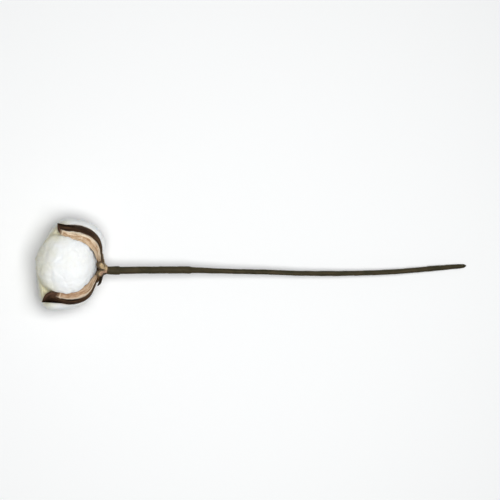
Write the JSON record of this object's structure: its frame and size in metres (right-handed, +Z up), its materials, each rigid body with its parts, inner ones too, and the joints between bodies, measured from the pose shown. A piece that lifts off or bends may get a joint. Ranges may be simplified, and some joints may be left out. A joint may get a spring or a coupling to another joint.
{
  "type": "cotton boll",
  "caption": "Open cotton boll with white lint locks in a dried brown husk, on a long thin tape-wrapped wire stem, lying flat.",
  "frame": {"origin": "on the table, under the middle of the object's bounding box", "axes": "+X along the stem from the boll to the stem's tip, +Z up, away from the table"},
  "size_m": [0.2713, 0.0578, 0.0555],
  "materials": {
    "lint": "soft matt fibre",
    "husk": "dry matt, dark brown outside and tan inside",
    "calyx": "dry matt, papery",
    "tape": "waxed crepe, faint sheen",
    "wire": "dull"
  },
  "bodies": {
    "root": {"lock_front": "lint", "lock_left": "lint", "lock_back": "lint", "lock_right": "lint", "husk": "husk", "calyx": "calyx", "stem_tape": "tape", "stem_wire": "wire"}
  },
  "joints": []
}
